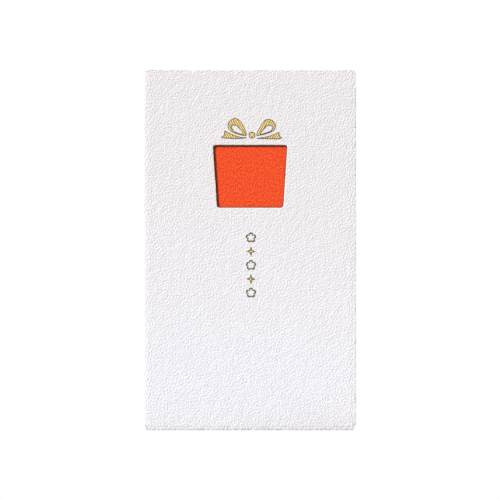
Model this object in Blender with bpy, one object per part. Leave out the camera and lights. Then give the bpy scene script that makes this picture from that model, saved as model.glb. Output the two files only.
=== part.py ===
# Money gift envelope: a white embossed card envelope with a die-cut window in the shape of a gift box,
# a gold foil bow over it, and an orange inner envelope that shows through it.
# Metres, +Z up. The printed face looks towards -Y and +X is on the right of someone who reads it.
# The origin is under the middle of the envelope, at the lowest point of its bottom fold.
import math

import bmesh
import bpy
from mathutils import Vector

mm = 0.001

# Outer envelope, folded from one sheet of card
outerWidth = 106 * mm
outerHeight = 180 * mm
cardThickness = 0.45 * mm
sideFlapWidth = 14 * mm
sideFlapLowerSlant = 9 * mm
sideFlapUpperSlant = 5 * mm
sideFlapHeadTrim = 1.2 * mm
cornerTrimWidth = 1.1 * mm
cornerTrimHeight = 2.7 * mm
backPanelDrop = 8 * mm
backPanelCornerRadius = 3 * mm

# Closure flap at the top
closureInset = 0.8 * mm
closureHeight = 30 * mm
closureSlant = 8 * mm
closureCornerRadius = 7 * mm

# Glued seams
glueThickness = 0.06 * mm
glueWidth = 6 * mm
glueEdgeInset = 2 * mm
glueEndInset = 12 * mm

# Inner envelope, folded from one sheet of orange paper
paperThickness = 0.20 * mm
innerSideClearance = 2.5 * mm
innerHeadroom = 12.5 * mm
innerSideFlapWidth = 12 * mm
innerSideFlapSlant = 8 * mm
innerBackDrop = 6 * mm
innerClosureInset = 0.6 * mm
innerClosureHeight = 30 * mm
innerClosureSlant = 8 * mm
innerCornerRadius = 5 * mm

# Gaps between the layers
looseGap = 0.30 * mm
pocketGap = 0.30 * mm
glueGap = 0.02 * mm
seamGap = 0.05 * mm
creaseGapShare = 1 / 3

# Die-cut window: a gift box that is wider at its lid
windowTopWidth = 37.5 * mm
windowBottomWidth = 33.3 * mm
windowHeight = 31.5 * mm
windowDrop = 37.5 * mm
windowSideShift = 0.2 * mm
windowCornerRadius = 1.4 * mm

# Hot-stamped gold foil
foilThickness = 0.05 * mm
foilGap = 0.02 * mm
bowWidth = 30.1 * mm
bowHeight = 10.4 * mm
bowAboveWindow = 3.0 * mm
bowSideShift = 1.0 * mm
knotWidth = 3.1 * mm
knotHeight = 3.2 * mm
knotCornerRadius = 1.2 * mm
markCount = 5
markHeight = 5.2 * mm
markPitch = 6.9 * mm
markSideShift = 0.5 * mm
markStroke = 0.75 * mm
markBelowWindow = 12.2 * mm
twinkleWidth = 4.6 * mm
twinkleWaistShare = 0.36
petalCount = 5
petalDipShare = 0.62

# How finely the round stretches are cut up
arcSteps = 5
rollSteps = 12
curveSteps = 4
petalSteps = 8

# The bow's outlines, as shares of its width and height from the middle of the knot
knotRiseShare = 0.178
leftLoopShares = [
    (-0.094, 0.000), (-0.101, 0.180), (-0.143, 0.447), (-0.194, 0.688), (-0.282, 0.822),
    (-0.370, 0.683), (-0.405, 0.447), (-0.365, 0.207), (-0.247, 0.048), (-0.134, -0.030),
]
leftLoopHoleShares = [
    (-0.342, 0.404), (-0.325, 0.465), (-0.295, 0.480), (-0.264, 0.440),
    (-0.210, 0.310), (-0.168, 0.165), (-0.152, 0.072), (-0.224, 0.101), (-0.297, 0.207),
]
rightLoopShares = [
    (0.077, 0.000), (0.085, 0.144), (0.124, 0.361), (0.169, 0.572), (0.214, 0.712),
    (0.275, 0.780), (0.350, 0.688), (0.391, 0.510), (0.386, 0.325), (0.335, 0.165),
    (0.199, 0.030), (0.088, -0.030),
]
rightLoopHoleShares = [
    (0.144, 0.055), (0.174, 0.200), (0.214, 0.340), (0.254, 0.430), (0.295, 0.460),
    (0.328, 0.425), (0.338, 0.345), (0.322, 0.248), (0.272, 0.160), (0.205, 0.098),
]
# A tail: its long upper edge, from the knot to its upper tip, then the slanted end and the lower edge
leftTailUpperShares = [
    (-0.094, -0.101), (-0.164, -0.101), (-0.245, -0.048), (-0.357, 0.082), (-0.454, 0.226),
]
leftTailLowerShares = [
    (-0.462, 0.010), (-0.518, -0.130), (-0.400, -0.160), (-0.240, -0.178), (-0.094, -0.144),
]
rightTailUpperShares = [
    (0.080, -0.140), (0.161, -0.111), (0.272, -0.048), (0.368, 0.048), (0.451, 0.154),
]
rightTailLowerShares = [
    (0.456, -0.010), (0.506, -0.145), (0.445, -0.185), (0.347, -0.195), (0.080, -0.170),
]


def stackLayers(layers):
    """The depths of each layer's two faces, counted from the printed face."""
    depths, depth = {}, 0
    for name, thickness, gapBehind in layers:
        depths[name] = (depth, depth + thickness)
        depth += thickness + gapBehind
    return depths


layerDepths = stackLayers([
    ("outerFront", cardThickness, looseGap),
    ("innerFront", paperThickness, pocketGap),
    ("innerSide", paperThickness, glueGap),
    ("innerGlue", glueThickness, glueGap),
    ("innerBack", paperThickness, looseGap),
    ("innerClosure", paperThickness, looseGap),
    ("outerSide", cardThickness, glueGap),
    ("outerGlue", glueThickness, glueGap),
    ("outerBack", cardThickness, looseGap),
    ("closure", cardThickness, 0),
])
foilRise = foilGap + foilThickness
printedFaceY = (foilRise - layerDepths["closure"][1]) / 2


def layerY(name):
    """The Y of a layer's front and back faces."""
    front, back = layerDepths[name]
    return printedFaceY + front, printedFaceY + back


def rollBetween(frontLayer, backLayer):
    """Middle depth and outer radius of the round fold that joins two layers of one sheet."""
    front, back = layerY(frontLayer)[0], layerY(backLayer)[1]
    return (front + back) / 2, (back - front) / 2


creaseGap = cardThickness * creaseGapShare
sideRollY, sideRollRadius = rollBetween("outerFront", "outerSide")
bottomRollY, bottomRollRadius = rollBetween("outerFront", "outerBack")
innerSideRollY, innerSideRollRadius = rollBetween("innerFront", "innerSide")
innerBottomRollY, innerBottomRollRadius = rollBetween("innerFront", "innerBack")
innerTopRollY, innerTopRollRadius = rollBetween("innerFront", "innerClosure")

mouthZ = outerHeight - cardThickness - creaseGap
panelHalfWidth = outerWidth / 2 - sideRollRadius
innerHalfWidth = panelHalfWidth - innerSideClearance
innerPanelHalfWidth = innerHalfWidth - innerSideRollRadius
innerBottomZ = bottomRollRadius + looseGap
innerTopZ = outerHeight - cardThickness - innerHeadroom
windowTopZ = outerHeight - windowDrop
windowBottomZ = windowTopZ - windowHeight
bowZ = windowTopZ + bowAboveWindow + bowHeight * knotRiseShare
firstMarkZ = windowBottomZ - markBelowWindow - markHeight / 2


def roundCorners(corners):
    """An outline from corners given as (x, z, radius), with an arc at each corner that has a radius."""
    outline = []
    for i, (x, z, radius) in enumerate(corners):
        corner = Vector((x, z))
        before = (Vector(corners[i - 1][:2]) - corner).normalized()
        after = (Vector(corners[(i + 1) % len(corners)][:2]) - corner).normalized()
        if not radius:
            outline.append(corner)
            continue
        halfAngle = before.angle(after) / 2
        centre = corner + (before + after).normalized() * radius / math.sin(halfAngle)
        start = corner + before * radius / math.tan(halfAngle) - centre
        turn = start.angle_signed(corner + after * radius / math.tan(halfAngle) - centre)
        for step in range(arcSteps + 1):
            angle = -turn * step / arcSteps
            outline.append(centre + Vector((
                start.x * math.cos(angle) - start.y * math.sin(angle),
                start.x * math.sin(angle) + start.y * math.cos(angle),
            )))
    return outline


def smoothThrough(points, closed):
    """A smooth curve through the points (Catmull-Rom)."""
    count = len(points)
    curve = []
    for i in range(count if closed else count - 1):
        picks = [i - 1, i, i + 1, i + 2]
        if closed:
            a, b, c, d = (points[p % count] for p in picks)
        else:
            a, b, c, d = (points[min(max(p, 0), count - 1)] for p in picks)
        for step in range(curveSteps):
            t = step / curveSteps
            curve.append((b * 2 + (c - a) * t + (a * 2 - b * 5 + c * 4 - d) * t**2
                          + (b * 3 - a - c * 3 + d) * t**3) / 2)
    if not closed:
        curve.append(points[-1])
    return curve


def bowPoints(shares):
    return [Vector((bowSideShift + bowWidth * x, bowZ + bowHeight * z)) for x, z in shares]


def bowTail(upperShares, lowerShares):
    """A ribbon end: a smooth upper edge, a slanted cut and a smooth lower edge."""
    upper = smoothThrough(bowPoints(upperShares), False)
    cut = bowPoints(lowerShares[:1])
    lower = smoothThrough(bowPoints(lowerShares[1:]), False)
    return upper + cut + lower


def facesFront(u, v, along):
    """A flat layer: the outline is seen from the front, and its thickness runs back along Y."""
    return Vector((u, along, v))


def runsUp(u, v, along):
    """A section in X and Y, drawn out along Z."""
    return Vector((u, v, along))


def runsAcross(u, v, along):
    """A section in Y and Z, drawn out along X."""
    return Vector((along, u, v))


def drawOut(name, loops, lay, start, end, material, pivot=None, pivotAt=None):
    """One closed solid, drawn out from start to end. The first loop is its outline, any others are holes."""
    origin = pivotAt or Vector((0, 0, 0))
    bm = bmesh.new()
    for loop in loops:
        verts = [bm.verts.new(lay(p[0], p[1], start) - origin) for p in loop]
        for i, vert in enumerate(verts):
            bm.edges.new((verts[i - 1], vert))
    bmesh.ops.triangle_fill(bm, use_beauty=True, edges=bm.edges[:])
    drawn = bmesh.ops.extrude_face_region(bm, geom=bm.faces[:])
    moved = [item for item in drawn["geom"] if isinstance(item, bmesh.types.BMVert)]
    bmesh.ops.translate(bm, verts=moved, vec=lay(0, 0, end) - lay(0, 0, start))
    bmesh.ops.recalc_face_normals(bm, faces=bm.faces[:])
    mesh = bpy.data.meshes.new(name)
    bm.to_mesh(mesh)
    bm.free()
    mesh.materials.append(material)
    solid = bpy.data.objects.new(name, mesh)
    bpy.context.collection.objects.link(solid)
    if pivot:
        solid.parent = pivot
    return solid


def makePivot(name, worldPlace, parent=None, parentPlace=None):
    """An empty on a joint's axis, which carries the pieces that move about it."""
    pivot = bpy.data.objects.new(name, None)
    bpy.context.collection.objects.link(pivot)
    pivot.location = worldPlace - (parentPlace or Vector((0, 0, 0)))
    pivot.parent = parent
    return pivot


def linearColour(hexColour):
    parts = [int(hexColour[i:i + 2], 16) / 255 for i in (1, 3, 5)]
    return [p / 12.92 if p <= 0.04045 else ((p + 0.055) / 1.055) ** 2.4 for p in parts] + [1]


def makeMaterial(name, hexColour, roughness, metallic=0):
    material = bpy.data.materials.new(name)
    material.use_nodes = True
    shader = material.node_tree.nodes["Principled BSDF"]
    shader.inputs["Base Color"].default_value = linearColour(hexColour)
    shader.inputs["Roughness"].default_value = roughness
    shader.inputs["Metallic"].default_value = metallic
    material.diffuse_color = linearColour(hexColour)
    return material


def cardMaterial(piece):
    return makeMaterial(f"{piece}_white_card", "#F2F0F1", 0.85)


def paperMaterial(piece):
    return makeMaterial(f"{piece}_orange_paper", "#F5562F", 0.8)


def foilMaterial(piece):
    return makeMaterial(f"{piece}_gold_foil", "#C9A85A", 0.45, 1)


def glueMaterial(piece):
    return makeMaterial(f"{piece}_dried_glue", "#E8E4D8", 0.5)


def halfRing(centreU, centreV, outerRadius, thickness, facing):
    """Half a ring whose round side points along facing, an angle from +U."""
    angles = [facing - math.pi / 2 + math.pi * step / rollSteps for step in range(rollSteps + 1)]
    outside = [(centreU + outerRadius * math.cos(a), centreV + outerRadius * math.sin(a)) for a in angles]
    innerRadius = outerRadius - thickness
    inside = [(centreU + innerRadius * math.cos(a), centreV + innerRadius * math.sin(a)) for a in angles]
    return outside + inside[::-1]


def makeFoil(name, loops):
    drawOut(name, loops, facesFront, printedFaceY - foilRise, printedFaceY - foilGap, foilMaterial(name))


def rectangle(left, right, bottom, top):
    return [(left, bottom), (right, bottom), (right, top), (left, top)]


def flapBehind(side, foldX, width, bottomZ, lowerSlant, topZ, upperSlant):
    """A side flap, full height at its fold and shorter at its free edge. side is -1 left and 1 right."""
    freeX = foldX - width
    corners = [(foldX, bottomZ), (foldX, topZ), (freeX, topZ - upperSlant), (freeX, bottomZ + lowerSlant)]
    return [(side * x, z) for x, z in corners]


def buildFrontPanel():
    window = roundCorners([
        (windowSideShift - windowBottomWidth / 2, windowBottomZ, windowCornerRadius),
        (windowSideShift + windowBottomWidth / 2, windowBottomZ, windowCornerRadius),
        (windowSideShift + windowTopWidth / 2, windowTopZ, windowCornerRadius),
        (windowSideShift - windowTopWidth / 2, windowTopZ, windowCornerRadius),
    ])
    edge = panelHalfWidth - seamGap
    panel = rectangle(-edge, edge, bottomRollRadius + seamGap, mouthZ)
    drawOut("outer_front_panel", [panel, window], facesFront, *layerY("outerFront"),
            cardMaterial("outer_front_panel"))


def buildOuterSides():
    for side, word, facing in ((-1, "left", math.pi), (1, "right", 0)):
        fold = halfRing(side * panelHalfWidth, sideRollY, sideRollRadius, cardThickness, facing)
        name = f"outer_{word}_fold"
        drawOut(name, [fold], runsUp, cornerTrimHeight, mouthZ, cardMaterial(name))
        name = f"outer_{word}_flap"
        flap = flapBehind(side, panelHalfWidth - seamGap, sideFlapWidth, cornerTrimHeight,
                          sideFlapLowerSlant, mouthZ - sideFlapHeadTrim, sideFlapUpperSlant)
        drawOut(name, [flap], facesFront, *layerY("outerSide"), cardMaterial(name))
        name = f"{word}_seam_glue"
        glueEdge = panelHalfWidth - sideFlapWidth + glueEdgeInset
        seam = rectangle(*sorted((side * glueEdge, side * (glueEdge + glueWidth))),
                         cornerTrimHeight + glueEndInset, mouthZ - backPanelDrop - glueEndInset)
        drawOut(name, [seam], facesFront, *layerY("outerGlue"), glueMaterial(name))


def buildOuterBack():
    halfWidth = outerWidth / 2 - cornerTrimWidth
    fold = halfRing(bottomRollY, bottomRollRadius, bottomRollRadius, cardThickness, -math.pi / 2)
    drawOut("outer_bottom_fold", [fold], runsAcross, -halfWidth, halfWidth,
            cardMaterial("outer_bottom_fold"))
    topZ = mouthZ - backPanelDrop
    panel = roundCorners([
        (-halfWidth, bottomRollRadius + seamGap, 0),
        (halfWidth, bottomRollRadius + seamGap, 0),
        (halfWidth, topZ, backPanelCornerRadius),
        (-halfWidth, topZ, backPanelCornerRadius),
    ])
    drawOut("outer_back_panel", [panel], facesFront, *layerY("outerBack"), cardMaterial("outer_back_panel"))


def buildClosure():
    """A strip over the mouth, turning about the front panel's top edge, with the flap on its far edge."""
    frontFace, backFace = layerY("outerFront")[0], layerY("closure")[1]
    axisZ = outerHeight - cardThickness / 2
    creaseAxis = Vector((0, frontFace + cardThickness / 2, axisZ))
    flapAxis = Vector((0, backFace - cardThickness / 2, axisZ))
    creasePivot = makePivot("closure_crease_axis", creaseAxis)
    flapPivot = makePivot("closure_flap_axis", flapAxis, creasePivot, creaseAxis)
    halfWidth = outerWidth / 2 - closureInset
    strip = rectangle(frontFace, backFace, outerHeight - cardThickness, outerHeight)
    drawOut("closure_crease", [strip], runsAcross, -halfWidth, halfWidth, cardMaterial("closure_crease"),
            creasePivot, creaseAxis)
    freeHalfWidth = halfWidth - closureSlant
    freeZ = mouthZ - closureHeight
    flap = roundCorners([
        (-halfWidth, mouthZ, 0),
        (halfWidth, mouthZ, 0),
        (freeHalfWidth, freeZ, closureCornerRadius),
        (-freeHalfWidth, freeZ, closureCornerRadius),
    ])
    drawOut("closure_flap", [flap], facesFront, *layerY("closure"), cardMaterial("closure_flap"),
            flapPivot, flapAxis)


def buildInnerEnvelope():
    """The whole inner envelope slides up and down in the outer one."""
    start = Vector((0, innerBottomRollY, innerBottomZ))
    slide = makePivot("inner_envelope_slide", start)

    def addPaper(name, loops, lay, nearEnd, farEnd):
        drawOut(name, loops, lay, nearEnd, farEnd, paperMaterial(name), slide, start)

    panelBottomZ = innerBottomZ + innerBottomRollRadius
    panelTopZ = innerTopZ - innerTopRollRadius
    edge = innerPanelHalfWidth - seamGap
    front = rectangle(-edge, edge, panelBottomZ + seamGap, panelTopZ - seamGap)
    addPaper("inner_front_panel", [front], facesFront, *layerY("innerFront"))
    for side, word, facing in ((-1, "left", math.pi), (1, "right", 0)):
        fold = halfRing(side * innerPanelHalfWidth, innerSideRollY, innerSideRollRadius,
                        paperThickness, facing)
        addPaper(f"inner_{word}_fold", [fold], runsUp, panelBottomZ + seamGap, panelTopZ - seamGap)
        flap = flapBehind(side, edge, innerSideFlapWidth, panelBottomZ + seamGap, innerSideFlapSlant,
                          panelTopZ - innerBackDrop, innerSideFlapSlant)
        addPaper(f"inner_{word}_flap", [flap], facesFront, *layerY("innerSide"))
        glueEdge = innerPanelHalfWidth - innerSideFlapWidth + glueEdgeInset
        seam = rectangle(*sorted((side * glueEdge, side * (glueEdge + glueWidth))),
                         panelBottomZ + glueEndInset, panelTopZ - innerBackDrop - glueEndInset)
        name = f"inner_{word}_glue"
        drawOut(name, [seam], facesFront, *layerY("innerGlue"), glueMaterial(name), slide, start)
    bottomFold = halfRing(innerBottomRollY, panelBottomZ, innerBottomRollRadius,
                          paperThickness, -math.pi / 2)
    addPaper("inner_bottom_fold", [bottomFold], runsAcross, -edge, edge)
    back = roundCorners([
        (-edge, panelBottomZ + seamGap, 0),
        (edge, panelBottomZ + seamGap, 0),
        (edge, panelTopZ - innerBackDrop, innerCornerRadius),
        (-edge, panelTopZ - innerBackDrop, innerCornerRadius),
    ])
    addPaper("inner_back_panel", [back], facesFront, *layerY("innerBack"))
    closureHalfWidth = edge - innerClosureInset
    topFold = halfRing(innerTopRollY, panelTopZ, innerTopRollRadius, paperThickness, math.pi / 2)
    addPaper("inner_top_fold", [topFold], runsAcross, -closureHalfWidth, closureHalfWidth)
    freeHalfWidth = closureHalfWidth - innerClosureSlant
    freeZ = panelTopZ - innerClosureHeight
    flap = roundCorners([
        (-closureHalfWidth, panelTopZ - seamGap, 0),
        (closureHalfWidth, panelTopZ - seamGap, 0),
        (freeHalfWidth, freeZ, innerCornerRadius),
        (-freeHalfWidth, freeZ, innerCornerRadius),
    ])
    addPaper("inner_closure_flap", [flap], facesFront, *layerY("innerClosure"))


def buildBow():
    knotLeft, knotRight = bowSideShift - knotWidth / 2, bowSideShift + knotWidth / 2
    knotBottom, knotTop = bowZ - knotHeight / 2, bowZ + knotHeight / 2
    makeFoil("bow_knot", [roundCorners([
        (knotLeft, knotBottom, knotCornerRadius),
        (knotRight, knotBottom, knotCornerRadius),
        (knotRight, knotTop, knotCornerRadius),
        (knotLeft, knotTop, knotCornerRadius),
    ])])
    for word, outer, hole in (("left", leftLoopShares, leftLoopHoleShares),
                              ("right", rightLoopShares, rightLoopHoleShares)):
        makeFoil(f"bow_{word}_loop", [smoothThrough(bowPoints(shares), True) for shares in (outer, hole)])
    makeFoil("bow_left_tail", [bowTail(leftTailUpperShares, leftTailLowerShares)])
    makeFoil("bow_right_tail", [bowTail(rightTailUpperShares, rightTailLowerShares)])


def twinkleOutline(centreZ):
    """A four-pointed twinkle with drawn-in sides."""
    outline = []
    for corner in range(8):
        angle = corner * math.pi / 4
        reach = twinkleWaistShare if corner % 2 else 1
        outline.append((markSideShift + twinkleWidth / 2 * reach * math.cos(angle),
                        centreZ + markHeight / 2 * reach * math.sin(angle)))
    return outline


def blossomOutline(centreZ, radius):
    """A blossom of round petals, one of them upright."""
    outline = []
    for step in range(petalCount * petalSteps):
        angle = 2 * math.pi * step / (petalCount * petalSteps)
        petal = math.sqrt(abs(math.cos(petalCount * angle / 2)))
        reach = radius * (petalDipShare + (1 - petalDipShare) * petal)
        outline.append((markSideShift + reach * math.sin(angle), centreZ + reach * math.cos(angle)))
    return outline


def buildMarks():
    """A column of small ornaments, open blossoms and twinkles by turns."""
    for index in range(markCount):
        centreZ = firstMarkZ - index * markPitch
        if index % 2:
            loops = [twinkleOutline(centreZ)]
        else:
            loops = [blossomOutline(centreZ, markHeight / 2 - inset) for inset in (0, markStroke)]
        makeFoil(f"foil_mark_{index + 1}", loops)


for old in list(bpy.data.objects):
    bpy.data.objects.remove(old)
buildFrontPanel()
buildOuterSides()
buildOuterBack()
buildClosure()
buildInnerEnvelope()
buildBow()
buildMarks()
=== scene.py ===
import bpy
import math
import numpy as np
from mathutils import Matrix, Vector
from mathutils.geometry import delaunay_2d_cdt


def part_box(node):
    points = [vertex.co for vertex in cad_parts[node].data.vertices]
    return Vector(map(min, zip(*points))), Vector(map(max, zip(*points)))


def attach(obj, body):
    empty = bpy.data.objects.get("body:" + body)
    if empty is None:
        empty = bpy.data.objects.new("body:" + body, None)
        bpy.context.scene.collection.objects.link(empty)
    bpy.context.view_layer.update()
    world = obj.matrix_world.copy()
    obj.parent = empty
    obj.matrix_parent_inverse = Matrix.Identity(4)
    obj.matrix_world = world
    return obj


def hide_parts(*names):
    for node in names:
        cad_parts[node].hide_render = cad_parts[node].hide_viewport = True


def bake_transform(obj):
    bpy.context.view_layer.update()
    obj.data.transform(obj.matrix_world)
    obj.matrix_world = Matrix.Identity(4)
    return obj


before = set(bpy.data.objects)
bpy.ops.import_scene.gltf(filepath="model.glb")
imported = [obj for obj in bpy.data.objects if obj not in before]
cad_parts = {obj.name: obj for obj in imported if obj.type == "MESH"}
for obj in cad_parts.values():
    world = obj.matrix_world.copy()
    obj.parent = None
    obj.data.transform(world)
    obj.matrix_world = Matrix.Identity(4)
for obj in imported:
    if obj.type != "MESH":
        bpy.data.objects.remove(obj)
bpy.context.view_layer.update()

mm = 0.001


# Small helpers for meshes

def boxInMillimetres(node):
    low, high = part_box(node)
    return np.array(low) / mm, np.array(high) / mm


def gridLines(stops, counts):  # evenly spaced lines between each two stops
    parts = [np.linspace(a, b, count, endpoint=False) for a, b, count in zip(stops, stops[1:], counts)]
    return np.append(np.concatenate(parts), stops[-1])


def addMesh(name, points, faces, attributes, sharpAngle=55):
    mesh = bpy.data.meshes.new(name)
    mesh.from_pydata((points * mm).tolist(), [], faces)
    for key, values in attributes.items():
        kind, field = ("FLOAT_VECTOR", "vector") if values.ndim == 2 else ("FLOAT", "value")
        mesh.attributes.new(key, kind, "POINT").data.foreach_set(field, values.astype(np.float32).ravel())
    mesh.shade_smooth()
    mesh.set_sharp_from_angle(angle=math.radians(sharpAngle))
    piece = bpy.data.objects.new(name, mesh)
    bpy.context.scene.collection.objects.link(piece)
    return piece


def freeEdges(polygons):  # the edges that only one polygon has, each in that polygon's direction
    edges = set()
    for corners in polygons:
        for start, end in zip(corners, corners[1:] + corners[:1]):
            if (end, start) in edges:
                edges.remove((end, start))
            else:
                edges.add((start, end))
    return edges


def sheetFaces(rowCount, columnCount, every, hole):
    innerFirst = rowCount * columnCount
    innerColumns = (columnCount - 1) // every + 1

    def outerAt(row, column):
        return row * columnCount + column

    def innerAt(row, column):
        return innerFirst + (row // every) * innerColumns + column // every

    def isCut(row, column):
        if not (0 <= row < rowCount - 1 and 0 <= column < columnCount - 1):
            return True
        return hole is not None and hole[0] <= row < hole[1] and hole[2] <= column < hole[3]

    def wall(start, end):  # the outer grid's places along a cut edge, then the inner grid's two
        rowStep, columnStep = ((to - at) // every for at, to in zip(start, end))
        line = [outerAt(start[0] + k * rowStep, start[1] + k * columnStep) for k in range(every + 1)]
        return line + [innerAt(*end), innerAt(*start)]

    kept = np.ones((rowCount - 1, columnCount - 1), bool)
    if hole is not None:
        kept[hole[0]:hole[1], hole[2]:hole[3]] = False
    rows, columns = np.nonzero(kept)
    first = rows * columnCount + columns
    faces = np.column_stack([first, first + 1, first + columnCount + 1, first + columnCount]).tolist()
    for row in range(0, rowCount - 1, every):
        for column in range(0, columnCount - 1, every):
            if isCut(row, column):
                continue
            above, beside = row + every, column + every
            a, b, c, d = (row, column), (above, column), (above, beside), (row, beside)
            faces.append([innerAt(*corner) for corner in (a, b, c, d)])
            sides = (((row - 1, column), d, a), ((above, column), b, c),
                     ((row, column - 1), a, b), ((row, beside), c, d))
            faces += [wall(start, end) for neighbour, start, end in sides if isCut(*neighbour)]
    return faces


def markEdges(grid, hole, value):
    bottom, top, left, right = hole
    grid[bottom:top + 1, [left, right]] = value
    grid[[bottom, top], left:right + 1] = value


# A sheet is a fine grid for the outer face and one with every few lines for the inner face, joined along
# the cut edges. u runs across the flat blank and v up it, and place lays them and a depth below the outer
# face in space. A hole is narrower behind, by the lean on each side. The attribute cutEdge is 1 along its
# outer edge, 2 along its inner one and 0 elsewhere.
def buildSheet(name, u, v, place, thickness, outerHeights, innerHeights, every, hole=None, lean=0):
    coarse = (slice(None, None, every), slice(None, None, every))
    innerU, innerV = u[coarse].copy(), v[coarse].copy()
    cutEdge, innerCutEdge = np.zeros(u.shape), np.zeros(innerU.shape)
    if hole is not None:
        innerHole = [line // every for line in hole]
        markEdges(cutEdge, hole, 1)
        markEdges(innerCutEdge, innerHole, 2)
        bottom, top, left, right = innerHole
        innerU[bottom:top + 1, left] += lean
        innerU[bottom:top + 1, right] -= lean
        innerV[bottom, left:right + 1] += lean
        innerV[top, left:right + 1] -= lean
    outer = place(u, v, -outerHeights)
    inner = place(innerU, innerV, thickness + innerHeights[coarse])
    points = np.vstack([outer.reshape(-1, 3), inner.reshape(-1, 3)])
    blank = np.stack([u, v, np.zeros_like(u)], -1)
    attributes = {"blankPlace": np.vstack([blank.reshape(-1, 3), blank[coarse].reshape(-1, 3)]),
                  "cutEdge": np.concatenate([cutEdge.ravel(), innerCutEdge.ravel()])}
    return addMesh(name, points, sheetFaces(*u.shape, every, hole), attributes)


# The relief that the card is pressed with: rounded pebbles of one size with no direction, a little longer
# up the sheet, on a low swell. One patch of it repeats over the whole blank.
emboss = {
    "seed": 11,
    "patchWidth": 128,
    "patchHeight": 192,
    "patchStep": 0.2,
    "pebble": 1.27,          # from one pebble to the next
    "pebbleSpread": 0.28,    # how much the pebbles differ in size, as a share of it
    "swell": 4.5,
    "swellSpread": 0.55,
    "swellShare": 0.2,       # of the pebbles' slope
    "stretch": 1.06,
    "slope": 0.165,          # standard deviation of the rise over the run
    "sink": 0.05,            # the mean surface lies this far under the nominal face
    "highest": 0.11,
    "deepest": 0.22,
}


def embossedPatch():
    rng = np.random.default_rng(emboss["seed"])
    step = emboss["patchStep"]
    shape = (round(emboss["patchHeight"] / step), round(emboss["patchWidth"] / step))
    across = np.fft.fftfreq(shape[1], step)[None, :]
    up = np.fft.fftfreq(shape[0], step)[:, None] * emboss["stretch"]
    waves = np.maximum(np.hypot(across, up), 1e-6)  # in a millimetre, kept above nought

    def band(length, spread):
        return np.exp(-0.5 * (np.log(waves * length) / spread) ** 2)

    pebbles = band(emboss["pebble"], emboss["pebbleSpread"])
    swell = band(emboss["swell"], emboss["swellSpread"])
    strength = (pebbles + emboss["swellShare"] * swell) / waves
    relief = np.fft.ifft2(np.fft.fft2(rng.standard_normal(shape)) * strength).real
    relief *= emboss["slope"] * step / np.diff(relief, axis=1).std()
    print("relief stands", round(float(relief.std()), 4), "mm high on the mean")
    return np.clip(relief, -emboss["deepest"], emboss["highest"])


reliefPatch = embossedPatch()


def embossedHeight(u, v):
    column, row = u / emboss["patchStep"], v / emboss["patchStep"]
    left, lower = np.floor(column).astype(int), np.floor(row).astype(int)
    acrossShare, upShare = column - left, row - lower
    height, width = reliefPatch.shape

    def along(line):
        places = reliefPatch[line % height, left % width], reliefPatch[line % height, (left + 1) % width]
        return places[0] * (1 - acrossShare) + places[1] * acrossShare

    return along(lower) * (1 - upShare) + along(lower + 1) * upShare


# Foil outlines, taken from the borders of the CAD foils' front faces

foil = {
    "names": ["bow_knot", "bow_left_loop", "bow_right_loop", "bow_left_tail", "bow_right_tail",
              "foil_mark_1", "foil_mark_2", "foil_mark_3", "foil_mark_4", "foil_mark_5"],
    "frontY": -2.168,
    "backY": -2.095,
    "frontDepth": 0.01,      # a CAD corner this near the front is on the front face
    "decimals": 4,           # two corners that agree to these are one
    "borderStep": 0.11,
    "leastPoints": 12,       # on a border
    "fillStep": 0.17,
    "fillMargin": 0.55,      # the fill stays this share of its step inside the border
    "mergeWithin": 1e-6,
    "leastArea": 1e-5,       # square millimetres; a thinner triangle is a sliver along a straight border
    "rimWidth": 0.16,        # the pressed edge dips over this width
    "rimDip": 0.03,
    "reliefShare": 0.35,     # how much of the card's relief comes through
    "highest": 0.015,        # the press keeps the relief under this
    "sharpAngle": 65,
    "pressedY": -2.085,      # the card's face under and around the foil
    "shoulder": 0.75,        # the card's relief comes back over this width
}


def borderLoops(node):
    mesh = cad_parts[node].data
    places = np.array([vertex.co for vertex in mesh.vertices]) / mm
    front = places[:, 1] < places[:, 1].min() + foil["frontDepth"]
    flat = [tuple(corner) for corner in np.round(places[:, [0, 2]], foil["decimals"])]
    following = dict(freeEdges([flat[i] for i in polygon.vertices] for polygon in mesh.polygons
                               if all(front[i] for i in polygon.vertices)))
    loops = []
    while following:
        start = min(following)
        loop = [start]
        after = following.pop(start)
        while after != start:
            loop.append(after)
            after = following.pop(after)
        loops.append(evenly(np.array(loop), foil["borderStep"]))
    return loops


def evenly(loop, step):  # the same closed border with points a step apart
    closed = np.vstack([loop, loop[:1]])
    run = np.concatenate([[0], np.cumsum(np.hypot(*np.diff(closed, axis=0).T))])
    count = max(foil["leastPoints"], round(run[-1] / step))
    at = np.linspace(0, run[-1], count, endpoint=False)
    return np.column_stack([np.interp(at, run, closed[:, k]) for k in (0, 1)])


def borderDistance(points, loops):
    nearest = np.full(len(points), np.inf)
    for loop in loops:
        for at, along in zip(loop, np.roll(loop, -1, axis=0) - loop):
            offset = points - at
            share = np.clip(offset @ along / (along @ along), 0, 1)
            nearest = np.minimum(nearest, np.hypot(*(offset - share[:, None] * along).T))
    return nearest


def isInside(points, loops):
    inside = np.zeros(len(points), bool)
    x, z = points.T
    for loop in loops:
        for (x1, z1), (x2, z2) in zip(loop, np.roll(loop, -1, axis=0)):
            if z1 != z2:
                inside ^= ((z1 > z) != (z2 > z)) & (x < (x2 - x1) * (z - z1) / (z2 - z1) + x1)
    return inside


foilBorders = {name: borderLoops(name) for name in foil["names"]}


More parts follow.
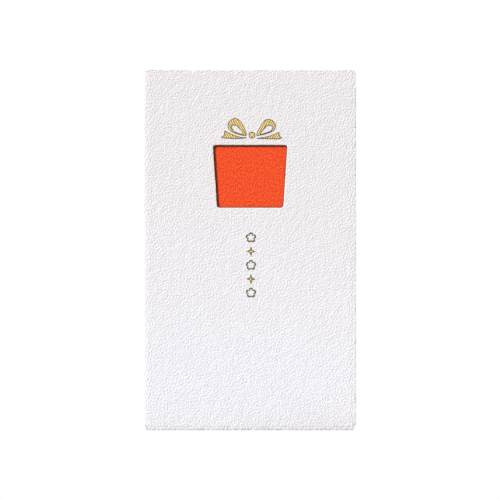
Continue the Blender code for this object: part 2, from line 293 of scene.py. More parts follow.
def pressNear(x, z, outlines, shoulder):  # 1 within an outline, falling to 0 over the shoulder around it
    press = np.zeros(x.shape)
    for loops in outlines:
        border = np.vstack(loops)
        (left, bottom), (right, top) = border.min(0) - shoulder, border.max(0) + shoulder
        near = (x > left) & (x < right) & (z > bottom) & (z < top)
        if near.any():
            places = np.column_stack([x[near], z[near]])
            distance = np.where(isInside(places, loops), 0, borderDistance(places, loops))
            share = np.clip(1 - distance / shoulder, 0, 1)
            press[near] = np.maximum(press[near], share * share * (3 - 2 * share))
    return press


def foilTriangles(loops):  # the border's points and a fill of even triangles
    border = np.vstack(loops)
    low, high = border.min(0), border.max(0)
    step = foil["fillStep"]
    across = np.arange(low[0], high[0], step)
    up = np.arange(low[1], high[1], step * math.sqrt(3) / 2)
    # every other row is half a step along
    fill = np.array([(x + (k % 2) * step / 2, z) for k, z in enumerate(up) for x in across])
    fill = fill[isInside(fill, loops) & (borderDistance(fill, loops) > foil["fillMargin"] * step)]
    edges, first = [], 0
    for loop in loops:
        count = len(loop)
        edges += [(first + k, first + (k + 1) % count) for k in range(count)]
        first += count
    spots = [Vector(spot) for spot in np.vstack([border, fill])]
    places, _, triangles, *_ = delaunay_2d_cdt(spots, edges, [], 0, foil["mergeWithin"])
    places = np.array([tuple(place) for place in places])
    triangles = np.array([list(corners) for corners in triangles])
    a, b, c = (places[triangles[:, k]] for k in range(3))
    area = ((b - a)[:, 0] * (c - a)[:, 1] - (b - a)[:, 1] * (c - a)[:, 0]) / 2
    triangles[area < 0] = triangles[area < 0][:, ::-1]
    triangles = triangles[isInside((a + b + c) / 3, loops) & (np.abs(area) > foil["leastArea"])]
    used = np.unique(triangles)
    return places[used], np.searchsorted(used, triangles).tolist()


def buildFoil(name):
    loops = foilBorders[name]
    places, triangles = foilTriangles(loops)
    distance = borderDistance(places, loops)
    dip = np.clip(1 - distance / foil["rimWidth"], 0, 1) ** 2 * foil["rimDip"]
    height = np.minimum(embossedHeight(*places.T) * foil["reliefShare"], foil["highest"])
    count = len(places)
    points = np.vstack([np.column_stack([places[:, 0], y, places[:, 1]])
                        for y in (foil["frontY"] + dip - height, np.full(count, foil["backY"]))])
    faces = triangles + [[count + i for i in reversed(corners)] for corners in triangles]
    faces += [[b, a, count + a, count + b] for a, b in sorted(freeEdges(triangles))]
    rim = np.concatenate([distance, np.zeros(count)])
    piece = addMesh(name + "_foil", points, faces, {"rimDistance": rim}, foil["sharpAngle"])
    piece.data.materials.append(goldFoil)
    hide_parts(name)
    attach(piece, "outer_envelope")


# Materials

def fromHex(colour, alpha=1):  # from sRGB to linear
    channels = [int(colour[k:k + 2], 16) / 255 for k in (1, 3, 5)]
    return tuple(c / 12.92 if c <= 0.04045 else ((c + 0.055) / 1.055) ** 2.4 for c in channels) + (alpha,)


def addNode(tree, kind, settings=None, **links):  # a link is a socket's name, or i and its number
    node = tree.nodes.new(kind)
    for key, value in (settings or {}).items():
        setattr(node, key, value)
    for key, value in links.items():
        numbered = key[0] == "i" and key[1:].isdigit()
        socket = node.inputs[int(key[1:]) if numbered else key.replace("_", " ")]
        if isinstance(value, bpy.types.NodeSocket):
            tree.links.new(value, socket)
        else:
            socket.default_value = value
    return node


def newMaterial(name):
    material = bpy.data.materials.new(name)
    material.use_nodes = True
    material.node_tree.nodes.clear()
    return material, material.node_tree


def finishMaterial(tree, **links):
    shader = addNode(tree, "ShaderNodeBsdfPrincipled", **links)
    addNode(tree, "ShaderNodeOutputMaterial", Surface=shader.outputs[0])


def blankSpace(tree, onSheet):  # places in millimetres, on the flat blank or on a CAD node
    if onSheet:
        return addNode(tree, "ShaderNodeAttribute", {"attribute_name": "blankPlace"}).outputs["Vector"]
    metres = addNode(tree, "ShaderNodeTexCoord").outputs["Object"]
    place = addNode(tree, "ShaderNodeVectorMath", {"operation": "SCALE"}, i0=metres, Scale=1 / mm)
    return place.outputs[0]


card = {
    "light": "#F6F0F0",
    "deep": "#F3EDED",
    "cutEdgeShade": "#3A1806",    # painted shade on the window's cut edge, dark brown
    "cutEdgeShadeFrom": 0.97,     # the painted shade starts at this value of cutEdge, so that it stays off the face
    "cloud": 14,             # soft patches in the pulp
    "cloudShare": 0.5,
    "grain": 0.55,           # fibre clumps; real ones are near 0.1 and wouldn't show
    "grainShare": 0.5,
    "mixRange": (0.36, 0.64),  # the noise that runs from the deep colour to the light one
    "stipple": 0.7,          # the felt's finer marks, between the pebbles that the mesh has
    "bump": 0.125,
    "roughness": (0.72, 0.86),
    "ior": 1.46,
}


# Uncoated wood-free card, felt-marked by a press. It gives the eye a matt white with soft clouds in the
# pulp and a fine tooth between the pebbles. A thin dark brown line along the window's cut edge is painted
# shade.
def cardFinish(name, onSheet=True):
    material, tree = newMaterial(name)
    place = blankSpace(tree, onSheet)
    cloud = addNode(tree, "ShaderNodeTexNoise", Vector=place, Scale=1 / card["cloud"], Detail=2.0)
    grain = addNode(tree, "ShaderNodeTexNoise", Vector=place, Scale=1 / card["grain"], Detail=3.0,
                    Roughness=0.6)
    grainPart = addNode(tree, "ShaderNodeMath", {"operation": "MULTIPLY"}, i0=grain.outputs[0],
                        i1=card["grainShare"])
    mixed = addNode(tree, "ShaderNodeMath", {"operation": "MULTIPLY_ADD"}, i0=cloud.outputs[0],
                    i1=card["cloudShare"], i2=grainPart.outputs[0])
    ramp = addNode(tree, "ShaderNodeMapRange", Value=mixed.outputs[0], From_Min=card["mixRange"][0],
                   From_Max=card["mixRange"][1])
    face = addNode(tree, "ShaderNodeMix", {"data_type": "RGBA"}, i0=ramp.outputs[0],
                   i6=fromHex(card["deep"]), i7=fromHex(card["light"]))
    # painted shade: the window's cut wall is coloured dark brown, standing in for the shade along the cut
    edge = addNode(tree, "ShaderNodeAttribute", {"attribute_name": "cutEdge"})
    cut = addNode(tree, "ShaderNodeMapRange", Value=edge.outputs["Fac"], From_Min=card["cutEdgeShadeFrom"],
                  From_Max=1.0)
    colour = addNode(tree, "ShaderNodeMix", {"data_type": "RGBA"}, i0=cut.outputs[0],
                     i6=face.outputs[2], i7=fromHex(card["cutEdgeShade"]))
    stipple = addNode(tree, "ShaderNodeTexNoise", Vector=place, Scale=1 / card["stipple"], Detail=0.0)
    bump = addNode(tree, "ShaderNodeBump", Height=stipple.outputs[0], Distance=card["bump"] * mm,
                   Strength=1.0)
    rough = addNode(tree, "ShaderNodeMapRange", Value=grain.outputs[0], To_Min=card["roughness"][0],
                    To_Max=card["roughness"][1])
    finishMaterial(tree, Base_Color=colour.outputs[2], Roughness=rough.outputs[0], IOR=card["ior"],
                   Normal=bump.outputs[0])
    return material


paper = {
    "light": "#FF6120",
    "deep": "#F21E00",
    "speckle": 0.65,         # fibre clumps, drawn coarser than real ones so that they show
    "upScale": 0.75,         # under 1, the front sheet's clumps are longer up it
    "speckleRange": (0.39, 0.56),
    "fibre": 0.75,           # ripples between the fibres, drawn coarse too
    "bump": 0.26,
    "roughness": (0.74, 0.9),
    "ior": 1.45,
}


# Through-dyed orange paper, unsized. It gives the eye a matt, saturated orange with a fibre speckle.
def paperFinish(name, onSheet=True):
    material, tree = newMaterial(name)
    place = blankSpace(tree, onSheet)
    longer = addNode(tree, "ShaderNodeMapping", Vector=place, Scale=(1.0, paper["upScale"], 1.0))
    speckle = addNode(tree, "ShaderNodeTexNoise", Vector=longer.outputs[0], Scale=1 / paper["speckle"],
                      Detail=3.0, Roughness=0.65)
    ramp = addNode(tree, "ShaderNodeMapRange", Value=speckle.outputs[0],
                   From_Min=paper["speckleRange"][0], From_Max=paper["speckleRange"][1])
    colour = addNode(tree, "ShaderNodeMix", {"data_type": "RGBA"}, i0=ramp.outputs[0],
                     i6=fromHex(paper["deep"]), i7=fromHex(paper["light"]))
    fibre = addNode(tree, "ShaderNodeTexNoise", Vector=place, Scale=1 / paper["fibre"], Detail=1.5)
    bump = addNode(tree, "ShaderNodeBump", Height=fibre.outputs[0], Distance=paper["bump"] * mm,
                   Strength=1.0)
    rough = addNode(tree, "ShaderNodeMapRange", Value=fibre.outputs[0], To_Min=paper["roughness"][0],
                    To_Max=paper["roughness"][1])
    finishMaterial(tree, Base_Color=colour.outputs[2], Roughness=rough.outputs[0], IOR=paper["ior"],
                   Normal=bump.outputs[0])
    return material


gold = {
    # painted highlight and shade: the engraved hatching and the mottling run the foil's colour between
    # these two
    "highlitGold": "#F4DE9E",
    "shadedGold": "#7E6424",
    # painted shade: the colour of the foil's rim, standing in for the shadow along its pressed-in edge
    "rim": "#4A3404",
    "rimWidth": 0.5,
    "rimDark": 0.3,          # the share of the rim's width that is at its darkest
    "hatch": 1.0,            # spacing of the engraved hatching
    "hatchLean": -0.5,       # radians
    "hatchWander": 3.2,      # how far the lines stray
    "hatchShare": 0.5,
    "middleX": 1.0,          # the hatching leans the other way on the bow's other half
    "grain": 0.45,           # mottling from the card's tooth under the foil, painted as highlight and shade
    "grainShare": 0.8,
    "toneRange": (0.38, 0.95),
    "bump": 0.02,
    "roughness": (0.42, 0.58),
}


# Hot-stamped foil, matt antique gold. It gives the eye a soft metal with engraved hatching drawn in
# painted highlight and shade, and a dark rim of painted shade along the edge where it is pressed into the
# card.
def foilFinish(name):
    material, tree = newMaterial(name)
    place = blankSpace(tree, False)
    apart = addNode(tree, "ShaderNodeSeparateXYZ", i0=place)
    beside = addNode(tree, "ShaderNodeMath", {"operation": "SUBTRACT"}, i0=apart.outputs[0],
                     i1=gold["middleX"])
    beside = addNode(tree, "ShaderNodeMath", {"operation": "ABSOLUTE"}, i0=beside.outputs[0])
    folded = addNode(tree, "ShaderNodeCombineXYZ", i0=beside.outputs[0], i1=apart.outputs[1],
                     i2=apart.outputs[2])
    turned = addNode(tree, "ShaderNodeMapping", Vector=folded.outputs[0],
                     Rotation=(0, gold["hatchLean"], 0))
    # at scale 1 a wave texture has 10 / pi bands to the millimetre
    hatch = addNode(tree, "ShaderNodeTexWave", {"wave_type": "BANDS", "bands_direction": "X"},
                    Vector=turned.outputs[0], Scale=math.pi / (10 * gold["hatch"]),
                    Distortion=gold["hatchWander"], Detail=2.5, Detail_Scale=1.5)
    grain = addNode(tree, "ShaderNodeTexNoise", Vector=place, Scale=1 / gold["grain"], Detail=3.0,
                    Roughness=0.7)
    grainPart = addNode(tree, "ShaderNodeMath", {"operation": "MULTIPLY"}, i0=grain.outputs[0],
                        i1=gold["grainShare"])
    mixed = addNode(tree, "ShaderNodeMath", {"operation": "MULTIPLY_ADD"}, i0=hatch.outputs[1],
                    i1=gold["hatchShare"], i2=grainPart.outputs[0])
    # painted highlight and shade: the hatching is a real engraved pattern, and its light and dark are
    # painted in
    tone = addNode(tree, "ShaderNodeMapRange", Value=mixed.outputs[0], From_Min=gold["toneRange"][0],
                   From_Max=gold["toneRange"][1])
    body = addNode(tree, "ShaderNodeMix", {"data_type": "RGBA"}, i0=tone.outputs[0],
                   i6=fromHex(gold["shadedGold"]), i7=fromHex(gold["highlitGold"]))
    # painted shade: the foil darkens towards its edge, standing in for the shadow where it is pressed
    # into the card
    rim = addNode(tree, "ShaderNodeAttribute", {"attribute_name": "rimDistance"})
    within = addNode(tree, "ShaderNodeMapRange", {"interpolation_type": "SMOOTHSTEP"},
                     Value=rim.outputs["Fac"], From_Min=gold["rimDark"] * gold["rimWidth"],
                     From_Max=gold["rimWidth"])
    colour = addNode(tree, "ShaderNodeMix", {"data_type": "RGBA"}, i0=within.outputs[0],
                     i6=fromHex(gold["rim"]), i7=body.outputs[2])
    bump = addNode(tree, "ShaderNodeBump", Height=mixed.outputs[0], Distance=gold["bump"] * mm,
                   Strength=1.0)
    rough = addNode(tree, "ShaderNodeMapRange", Value=grain.outputs[0], To_Min=gold["roughness"][0],
                    To_Max=gold["roughness"][1])
    finishMaterial(tree, Base_Color=colour.outputs[2], Metallic=1.0, Roughness=rough.outputs[0],
                   Normal=bump.outputs[0])
    return material


glue = {
    "clear": "#EDE8D6",
    "cloudy": "#D9D0B8",
    "cloud": 3.0,            # ripples from the wheel
    "bump": 0.02,
    "roughness": (0.35, 0.55),
    "ior": 1.48,
}


# Dried dispersion glue, drawn out by a wheel. It gives the eye a dull, slightly yellow film with ripples.
def glueFinish(name):
    material, tree = newMaterial(name)
    place = blankSpace(tree, False)
    cloud = addNode(tree, "ShaderNodeTexNoise", Vector=place, Scale=1 / glue["cloud"], Detail=3.0)
    colour = addNode(tree, "ShaderNodeMix", {"data_type": "RGBA"}, i0=cloud.outputs[0],
                     i6=fromHex(glue["cloudy"]), i7=fromHex(glue["clear"]))
    bump = addNode(tree, "ShaderNodeBump", Height=cloud.outputs[0], Distance=glue["bump"] * mm,
                   Strength=1.0)
    rough = addNode(tree, "ShaderNodeMapRange", Value=cloud.outputs[0], To_Min=glue["roughness"][0],
                    To_Max=glue["roughness"][1])
    finishMaterial(tree, Base_Color=colour.outputs[2], Roughness=rough.outputs[0], IOR=glue["ior"],
                   Normal=bump.outputs[0])
    return material


embossedCard = cardFinish("felt_marked_white_card")
plainCard = cardFinish("uncoated_white_card_inside", False)
orangePaper = paperFinish("dyed_orange_paper")
foldedPaper = paperFinish("dyed_orange_paper_folds", False)
goldFoil = foilFinish("hot_stamped_antique_gold")
driedGlue = glueFinish("dried_paper_glue")
print("materials made:", len(bpy.data.materials))

# The outer envelope's front sheet: the panel with its window, and the rounded fold along each side

frontSheet = {
    "creaseX": 51.5,
    "creaseMargin": 0.01,    # a grid line this near the crease still belongs to the panel
    "rollRadius": 1.5,
    "rollY": -0.615,
    "bottomZ": 1.8,
    "topZ": 179.0,
    "cardThickness": 0.45,
    "trimBottomZ": 2.7,      # the side folds end here, clear of the bottom fold
    "trimTopZ": 178.95,      # and here, just short of the panel's top
    "trimFade": 6.0,
    "squareness": 16.0,      # 2 is a round fold; the press flattens it
    # pairs of distance from the middle and rise: the card droops towards the left fold, and the creasing
    # rule left a valley along the right one
    "leftRise": ((50.4, 0), (51.6, -0.03), (52.6, -0.075), (53.8, 0)),
    "rightRise": ((50.9, 0), (51.6, -0.04), (52.3, 0)),
    "fineX": 49.1,           # the grid is finer from here out
    # grid lines across: left fold, its fine strip, panel, window, panel, fine strip, right fold
    "columns": (12, 8, 68, 76, 68, 8, 12),
    "rows": (232, 68, 76),   # below the window, beside it and above it
    "every": 4,              # each count is a multiple of this
}

# The window, a little wider at its top than at its bottom
window = {
    "bottomZ": 111.05,
    "topZ": 142.4,
    "bottomWidth": 33.1,
    "topWidth": 37.3,
    "shiftX": 0.16,          # to the right of the panel's middle
    "gridHalfWidth": 17.7,   # the window's part of the grid, before its lines lean with the sides
    "cornerRadius": 1.4,
    "fade": 22.0,            # the grid straightens out over this distance above and below
    "lip": 0.9,              # the die's rubber presses the relief flat this far around the cut
    "lean": 0.3,             # the cut narrows behind the face, so its wall, painted dark as shade, shows from in front
}


def windowSide(z, side):
    share = np.clip((z - window["bottomZ"]) / (window["topZ"] - window["bottomZ"]), 0, 1)
    halfWidth = (window["bottomWidth"] + (window["topWidth"] - window["bottomWidth"]) * share) / 2
    return window["shiftX"] + side * halfWidth


def roundWindowCorners(u, v, hole):
    radius = window["cornerRadius"]
    bottom, top, left, right = hole
    border = [(row, column) for row in (bottom, top) for column in range(left, right + 1)]
    border += [(row, column) for row in range(bottom + 1, top) for column in (left, right)]
    for row, column in border:
        for side in (-1, 1):
            for centreZ, out in ((window["bottomZ"] + radius, -1), (window["topZ"] - radius, 1)):
                centreX = windowSide(centreZ, side) - side * radius
                across, up = u[row, column] - centreX, v[row, column] - centreZ
                if across * side > 0 and up * out > 0:
                    scale = radius / math.hypot(across, up)
                    u[row, column], v[row, column] = centreX + across * scale, centreZ + up * scale


def windowOutline(u, v, hole):
    bottom, top, left, right = hole
    sides = [(slice(bottom, top), left), (top, slice(left, right)),
             (slice(top, bottom, -1), right), (bottom, slice(right, left, -1))]
    return np.vstack([np.column_stack([u[side], v[side]]) for side in sides])


def squared(angle, power):  # how far a pressed fold stands out beyond a round one
    return (np.abs(np.cos(angle)) ** power + np.abs(np.sin(angle)) ** power) ** (-1 / power)


def placeFront(u, v, depth):
    beyond = np.abs(u) > frontSheet["creaseX"]
    side = np.sign(u)
    angle = np.clip(np.abs(u) - frontSheet["creaseX"], 0, None) / frontSheet["rollRadius"]
    radius = (frontSheet["rollRadius"] - depth) * squared(angle, frontSheet["squareness"])
    x = np.where(beyond, side * (frontSheet["creaseX"] + radius * np.sin(angle)), u)
    y = frontSheet["rollY"] - radius * np.cos(angle)
    return np.stack([x, y, v], -1)


def frontGrid():
    rollLength = math.pi * frontSheet["rollRadius"]
    halfWidth, windowHalf, shift = frontSheet["creaseX"], window["gridHalfWidth"], window["shiftX"]
    fineX = frontSheet["fineX"]
    stops = [-halfWidth - rollLength, -halfWidth, -fineX, shift - windowHalf, shift + windowHalf,
             fineX, halfWidth, halfWidth + rollLength]
    columns = gridLines(stops, frontSheet["columns"])
    rows = gridLines([frontSheet["bottomZ"], window["bottomZ"], window["topZ"], frontSheet["topZ"]],
                     frontSheet["rows"])
    u, v = np.meshgrid(columns, rows)
    hole = (frontSheet["rows"][0], sum(frontSheet["rows"][:2]),
            sum(frontSheet["columns"][:3]), sum(frontSheet["columns"][:4]))
    # the grid's lines beside the window lean with its sides
    for k, z in enumerate(rows):
        away = max(window["bottomZ"] - z, z - window["topZ"], 0)
        lean = max(0, 1 - away / window["fade"])
        sides = [shift + side * windowHalf + lean * (windowSide(z, side) - shift - side * windowHalf)
                 for side in (-1, 1)]
        u[k] = np.interp(columns, stops, stops[:3] + sides + stops[5:])
    roundWindowCorners(u, v, hole)
    # the folds end a little short of the panel, above and below
    onFold = np.abs(u) > halfWidth + frontSheet["creaseMargin"]
    low = np.clip(1 - (v - frontSheet["bottomZ"]) / frontSheet["trimFade"], 0, 1)
    high = np.clip(1 - (frontSheet["topZ"] - v) / frontSheet["trimFade"], 0, 1)
    v = v + onFold * ((frontSheet["trimBottomZ"] - frontSheet["bottomZ"]) * low
                      - (frontSheet["topZ"] - frontSheet["trimTopZ"]) * high)
    return u, v, hole


def frontHeights(u, v, hole):
    lip = pressNear(u, v, [[windowOutline(u, v, hole)]], window["lip"])
    heights = embossedHeight(u, v) * (1 - lip) - emboss["sink"]
    for side, rise in ((-1, frontSheet["leftRise"]), (1, frontSheet["rightRise"])):
        heights += np.where(u * side > 0, np.interp(np.abs(u), *zip(*rise)), 0)
    press = pressNear(u, v, foilBorders.values(), foil["shoulder"])
    cardY = frontSheet["rollY"] - frontSheet["rollRadius"]
    return heights * (1 - press) + (cardY - foil["pressedY"]) * press


def buildFrontSheet():
    u, v, hole = frontGrid()
    heights = frontHeights(u, v, hole)
    piece = buildSheet("front_panel_and_side_folds", u, v, placeFront, frontSheet["cardThickness"],
                       heights, np.zeros_like(u), frontSheet["every"], hole, window["lean"])
    piece.data.materials.append(embossedCard)
    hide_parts("outer_front_panel", "outer_left_fold", "outer_right_fold")
    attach(piece, "outer_envelope")


# The back sheet: the rounded bottom fold and the back panel

backSheet = {
    "halfWidth": 51.9,
    "rollRadius": 1.775,
    "rollY": -0.34,
    "squareness": 18.0,
    "topZ": 171.4,
    "cornerRadius": 3.0,
    "columns": 224,
    "rows": (12, 360),       # grid lines around the fold and up the panel
    "every": 4,
}


def roundSheetCorner(u, v, centreU, centreV, side, radiusU, radiusV):  # an upper corner, left or right
    across, up = (u - centreU) * side / radiusU, (v - centreV) / radiusV
    corner = (across > 0) & (up > 0)
    reach = np.hypot(across, up)
    scale = np.where(corner, np.maximum(across, up) / np.maximum(reach, 1e-9), 1)
    u = np.where(corner, centreU + (u - centreU) * scale, u)
    v = np.where(corner, centreV + (v - centreV) * scale, v)
    return u, v


def placeBack(u, v, depth):
    angle = np.clip(v / backSheet["rollRadius"], 0, math.pi)
    radius = (backSheet["rollRadius"] - depth) * squared(angle, backSheet["squareness"])
    rise = np.clip(v - math.pi * backSheet["rollRadius"], 0, None)
    y = backSheet["rollY"] - radius * np.cos(angle)
    z = backSheet["rollRadius"] - radius * np.sin(angle) + rise
    return np.stack([-u, y, z], -1)


def buildBackSheet():
    rollLength = math.pi * backSheet["rollRadius"]
    length = rollLength + backSheet["topZ"] - backSheet["rollRadius"]
    columns = gridLines([-backSheet["halfWidth"], backSheet["halfWidth"]], [backSheet["columns"]])
    rows = gridLines([0, rollLength, length], backSheet["rows"])
    u, v = np.meshgrid(columns, rows)
    radius = backSheet["cornerRadius"]
    for side in (-1, 1):
        centreU = side * (backSheet["halfWidth"] - radius)
        u, v = roundSheetCorner(u, v, centreU, length - radius, side, radius, radius)
    heights = embossedHeight(u, -v) - emboss["sink"]
    piece = buildSheet("back_panel_and_bottom_fold", u, v, placeBack, frontSheet["cardThickness"],
                       heights, np.zeros_like(u), backSheet["every"])
    piece.data.materials.append(embossedCard)
    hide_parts("outer_bottom_fold", "outer_back_panel")
    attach(piece, "outer_envelope")


# The closure: a crease over the mouth, in two halves that each hold one rounded bend, and the flap

closure = {
    "halfWidth": 52.2,
    "frontY": -2.115,
    "backY": 2.185,
    "topZ": 180.0,
    "bendRadius": 0.525,
    "squareness": 18.0,
    "mouthZ": 179.4,         # the flap starts to narrow here
    "freeZ": 149.4,          # and ends here
    "slant": 8.0,            # narrower by this much on each side
    "cornerRadius": 5.4,     # along each edge, which makes the 7 mm round of the free corners
    "innerShare": 0.5,       # how much of the relief the inner face has
    "innerRise": 0.02,       # brings the inner face's mean back to about its nominal place
    "columns": 224,
    "frontRows": (2, 8, 6),
    "backRows": (6, 8, 2),
    "flapRows": 64,
}
closureThickness = frontSheet["cardThickness"]
bendLength = closure["bendRadius"] * math.pi / 2
straightLength = closure["topZ"] - closure["bendRadius"] - frontSheet["topZ"]
frontTop = -closure["frontY"] - closure["bendRadius"]
backTop = closure["backY"] - closure["bendRadius"]
# where its shape changes, along the blank from the front panel over the mouth to the free edge
closureStops = np.cumsum([0, straightLength, bendLength, frontTop, backTop, bendLength, straightLength,
                          frontSheet["topZ"] - closure["freeZ"]])
_, frontBend, topStart, _, backBend, backStart, _, freeEdge = closureStops


def placeClosure(u, v, depth):
    bend = closure["bendRadius"]
    frontAngle = np.clip((v - frontBend) / bend, 0, math.pi / 2)
    backAngle = np.clip((v - backBend) / bend, 0, math.pi / 2)
    frontRadius = (bend - depth) * squared(frontAngle, closure["squareness"])
    backRadius = (bend - depth) * squared(backAngle, closure["squareness"])
    along = np.clip(v - topStart, 0, frontTop + backTop)
    y = (closure["frontY"] + bend - frontRadius * np.cos(frontAngle) + along
         + backRadius * np.sin(backAngle))
    rise = np.minimum(v, frontBend) + frontSheet["topZ"]
    fall = np.clip(v - backStart, 0, None)
    z = rise + frontRadius * np.sin(frontAngle) - (bend - depth) + backRadius * np.cos(backAngle) - fall
    share = np.clip((closure["mouthZ"] - z) / (closure["mouthZ"] - closure["freeZ"]), 0, 1)
    halfWidth = closure["halfWidth"] - closure["slant"] * share * (v > backBend)
    return np.stack([u * halfWidth / closure["halfWidth"], y, z], -1)


def buildClosurePiece(name, rows, rounded):
    columns = gridLines([-closure["halfWidth"], closure["halfWidth"]], [closure["columns"]])
    u, v = np.meshgrid(columns, rows)
    if rounded:
        radiusV = closure["cornerRadius"]
        radiusU = radiusV * closure["halfWidth"] / (closure["halfWidth"] - closure["slant"])
        for side in (-1, 1):
            centreU = side * (closure["halfWidth"] - radiusU)
            u, v = roundSheetCorner(u, v, centreU, freeEdge - radiusV, side, radiusU, radiusV)
    heights = embossedHeight(u, v + frontSheet["topZ"]) - emboss["sink"]
    innerHeights = -(closure["innerShare"] * heights + closure["innerRise"])
    piece = buildSheet(name, u, v, placeClosure, closureThickness, heights, innerHeights, 1)
    piece.data.materials.append(embossedCard)
    return piece


def buildClosure():
    frontRows = gridLines(closureStops[0:4], closure["frontRows"])
    backRows = gridLines(closureStops[3:7], closure["backRows"])
    flapRows = gridLines(closureStops[6:8], [closure["flapRows"]])
    frontHalf = buildClosurePiece("closure_crease_front", frontRows, False)
    backHalf = buildClosurePiece("closure_crease_back", backRows, False)
    flap = buildClosurePiece("closure_flap_card", flapRows, True)
    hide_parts("closure_crease")
    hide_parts("closure_crease")
    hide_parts("closure_flap")
    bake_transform(frontHalf)
    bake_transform(backHalf)
    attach(flap, "closure_flap")


# The inner envelope's front sheet, which shows through the window

innerSheet = {
    "thickness": 0.20,
    "columns": 160,
    "rows": 272,
    "every": 4,
    "reliefShare": 0.4,
    "patchShift": (31, 57),  # so that its relief isn't the card's over again
}


def buildInnerFront():
    low, high = boxInMillimetres("inner_front_panel")
    columns = gridLines([low[0], high[0]], [innerSheet["columns"]])
    rows = gridLines([low[2], high[2]], [innerSheet["rows"]])
    u, v = np.meshgrid(columns, rows)

    def place(u, v, depth):
        return np.stack([u, low[1] + depth, v], -1)

    shiftU, shiftV = innerSheet["patchShift"]
    relief = embossedHeight(u + shiftU, v + shiftV) - emboss["highest"]
    piece = buildSheet("inner_front_paper", u, v, place, innerSheet["thickness"],
                       innerSheet["reliefShare"] * relief, np.zeros_like(u), innerSheet["every"])
    piece.data.materials.append(orangePaper)
    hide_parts("inner_front_panel")
    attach(piece, "inner_envelope")


buildFrontSheet()
print("front sheet made")
buildBackSheet()
print("back sheet made")
buildClosure()
print("closure made")
buildInnerFront()
print("inner front made")
for name in foil["names"]:
    buildFoil(name)
print("foil stamped:", len(foil["names"]))

keptNodes = {
    plainCard: ["outer_left_flap", "outer_right_flap"],
    foldedPaper: ["inner_left_fold", "inner_right_fold", "inner_left_flap", "inner_right_flap",
                  "inner_bottom_fold", "inner_back_panel", "inner_top_fold", "inner_closure_flap"],
    driedGlue: ["left_seam_glue", "right_seam_glue", "inner_left_glue", "inner_right_glue"],
}
for material, names in keptNodes.items():
    for name in names:
        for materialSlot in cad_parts[name].material_slots:
            materialSlot.material = material
print("CAD nodes dressed:", sum(len(names) for names in keptNodes.values()))

# Floor, light and camera

stage = {
    "floorSide": 6000,
    "floorColour": "#6E6E6F",
    "floorGlow": 0.75,       # what the camera and reflections see on top of the floor's own light
    # a cooler patch of floor in front, which lights the card's lower part
    "coolColour": "#879AAD",
    "coolMiddle": (-45, -68, 0),
    "coolReach": (190, 86, 100),
    "coolFade": 0.5,         # the patch fades over the outer half of its reach
    "skyFront": 0.03,        # the room's light from the camera's side
    "skyAround": 0.8,        # from the sides
    "skyBehind": 0.4,        # and from behind
    "frontFade": (-0.45, 0.05),
    "behindFade": (0.1, 0.9),
    "keyStrength": 5.71,
    "keyAngle": 8,           # degrees, as is the other light's
    "keyFrom": (-1.75, -1.0, 1.5),
    "rearStrength": 2.5,
    "rearAngle": 10,
    "rearFrom": (0.5, 0.8, 1.3),
}


def seenDirectly(tree):  # 1 for the camera, reflections and what is seen through glass, else 0
    path = addNode(tree, "ShaderNodeLightPath")
    seen = addNode(tree, "ShaderNodeMath", {"operation": "MAXIMUM"}, i0=path.outputs["Is Camera Ray"],
                   i1=path.outputs["Is Glossy Ray"])
    seen = addNode(tree, "ShaderNodeMath", {"operation": "MAXIMUM"}, i0=seen.outputs[0],
                   i1=path.outputs["Is Transmission Ray"])
    return seen.outputs[0]


# Matt white paint, rolled on board. It gives the eye a plain white that still takes a shadow, because
# the glow makes up only part of it.
def floorFinish():
    material, tree = newMaterial("matt_white_floor")
    material.cycles.emission_sampling = "NONE"  # the glow isn't a lamp
    glow = addNode(tree, "ShaderNodeMath", {"operation": "MULTIPLY"}, i0=seenDirectly(tree),
                   i1=stage["floorGlow"])
    middle = [length * mm for length in stage["coolMiddle"]]
    reach = [length * mm for length in stage["coolReach"]]
    place = addNode(tree, "ShaderNodeMapping", {"vector_type": "TEXTURE"}, Location=middle, Scale=reach,
                    Vector=addNode(tree, "ShaderNodeTexCoord").outputs["Object"])
    ball = addNode(tree, "ShaderNodeTexGradient", {"gradient_type": "SPHERICAL"}, Vector=place.outputs[0])
    cool = addNode(tree, "ShaderNodeMapRange", {"interpolation_type": "SMOOTHSTEP"},
                   Value=ball.outputs[1], From_Max=stage["coolFade"])
    colour = addNode(tree, "ShaderNodeMix", {"data_type": "RGBA"}, i0=cool.outputs[0],
                     i6=fromHex(stage["floorColour"]), i7=fromHex(stage["coolColour"]))
    finishMaterial(tree, Base_Color=colour.outputs[2], Roughness=0.9, Specular_IOR_Level=0.0,
                   Emission_Color=(1, 1, 1, 1), Emission_Strength=glow.outputs[0])
    return material


def buildFloor():
    half = stage["floorSide"] / 2
    corners = np.array([(-half, -half, 0), (half, -half, 0), (half, half, 0), (-half, half, 0)], float)
    floor = addMesh("floor", corners, [[0, 1, 2, 3]], {})
    floor.data.materials.append(floorFinish())


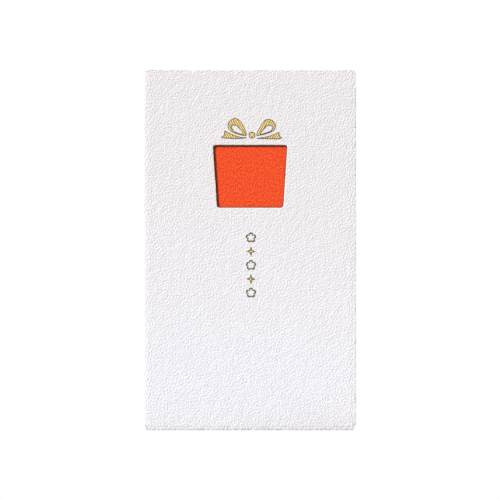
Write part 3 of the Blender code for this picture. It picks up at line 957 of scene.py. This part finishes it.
def buildSky():
    world = bpy.data.worlds.new("soft_white_room")
    bpy.context.scene.world = world
    world.use_nodes = True
    tree = world.node_tree
    tree.nodes.clear()
    direction = addNode(tree, "ShaderNodeSeparateXYZ",
                        i0=addNode(tree, "ShaderNodeTexCoord").outputs["Generated"])
    front, behind = stage["frontFade"], stage["behindFade"]
    ahead = addNode(tree, "ShaderNodeMapRange", {"interpolation_type": "SMOOTHSTEP"},
                    Value=direction.outputs[1], From_Min=front[0], From_Max=front[1],
                    To_Min=stage["skyFront"], To_Max=stage["skyAround"])
    room = addNode(tree, "ShaderNodeMapRange", {"interpolation_type": "SMOOTHSTEP"},
                   Value=direction.outputs[1], From_Min=behind[0], From_Max=behind[1],
                   To_Min=ahead.outputs[0], To_Max=stage["skyBehind"])
    strength = addNode(tree, "ShaderNodeMapRange", Value=seenDirectly(tree), To_Min=room.outputs[0],
                       To_Max=1.0)
    sky = addNode(tree, "ShaderNodeBackground", Color=(1, 1, 1, 1), Strength=strength.outputs[0])
    addNode(tree, "ShaderNodeOutputWorld", Surface=sky.outputs[0])


def addSun(name, strength, angle, comesFrom):
    lamp = bpy.data.lights.new(name, "SUN")
    lamp.energy = strength
    lamp.angle = math.radians(angle)
    sun = bpy.data.objects.new(name, lamp)
    sun.rotation_euler = Vector(comesFrom).to_track_quat("Z", "Y").to_euler()
    bpy.context.scene.collection.objects.link(sun)


view = {
    "x": 0.05,
    "z": 89.95,
    "distance": 600,
    "scale": 249.8,          # millimetres across the picture
    "nearest": 10,           # what the camera sees starts here
    "furthest": 50000,
}


def buildCamera():
    camera = bpy.data.objects.new("camera", bpy.data.cameras.new("camera"))
    camera.data.type = "ORTHO"
    camera.data.ortho_scale = view["scale"] * mm
    camera.data.clip_start = view["nearest"] * mm
    camera.data.clip_end = view["furthest"] * mm
    camera.location = (view["x"] * mm, -view["distance"] * mm, view["z"] * mm)
    camera.rotation_euler = (math.radians(90), 0, 0)
    bpy.context.scene.collection.objects.link(camera)
    bpy.context.scene.camera = camera


buildFloor()
buildSky()
addSun("key_window_light", stage["keyStrength"], stage["keyAngle"], stage["keyFrom"])
addSun("rear_fill_light", stage["rearStrength"], stage["rearAngle"], stage["rearFrom"])
buildCamera()
bpy.context.scene.view_settings.view_transform = "Standard"
print("stage, lights and camera made")
